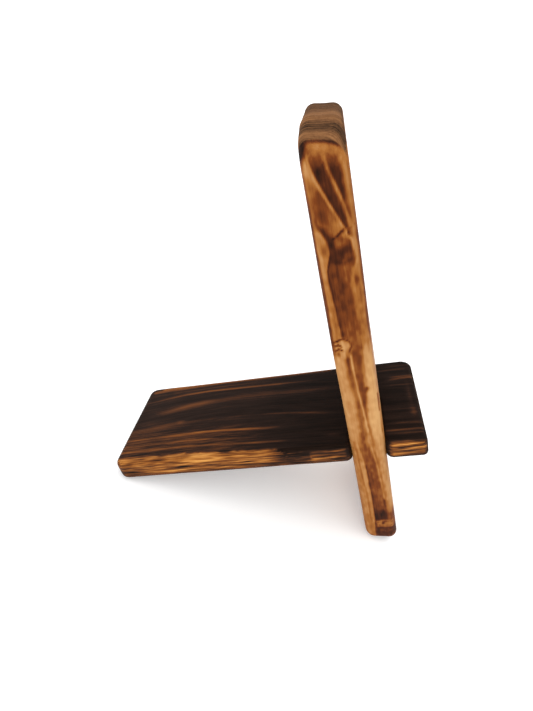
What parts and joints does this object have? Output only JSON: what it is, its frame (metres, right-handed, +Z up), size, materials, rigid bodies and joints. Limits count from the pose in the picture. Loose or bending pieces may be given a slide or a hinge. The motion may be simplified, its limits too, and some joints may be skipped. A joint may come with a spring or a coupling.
{
  "type": "phone stand",
  "caption": "Leaning phone stand made of scorched pine boards that cross through halving slots, with a backrest and a short front ledge.",
  "frame": {"origin": "centre of the assembled stand's footprint box, on the surface that it stands on", "axes": "+Z up, +X the side that the phone faces, +Y across the boards towards the edge where the back board's slot opens"},
  "size_m": [0.172, 0.073, 0.2121],
  "materials": {
    "honey_scorched_pine": "lightly scorched and oiled to a satin sheen",
    "dark_burnt_pine": "deeply burnt, brushed along the grain and oiled to a satin sheen"
  },
  "bodies": {
    "back": {"back_board": "honey_scorched_pine"},
    "base": {"base_board": "dark_burnt_pine"}
  },
  "joints": [
    {"name": "board_slide", "type": "slide", "parent": "back", "child": "base", "axis": [0, 1, 0], "range_m": [0, 0.08]}
  ]
}
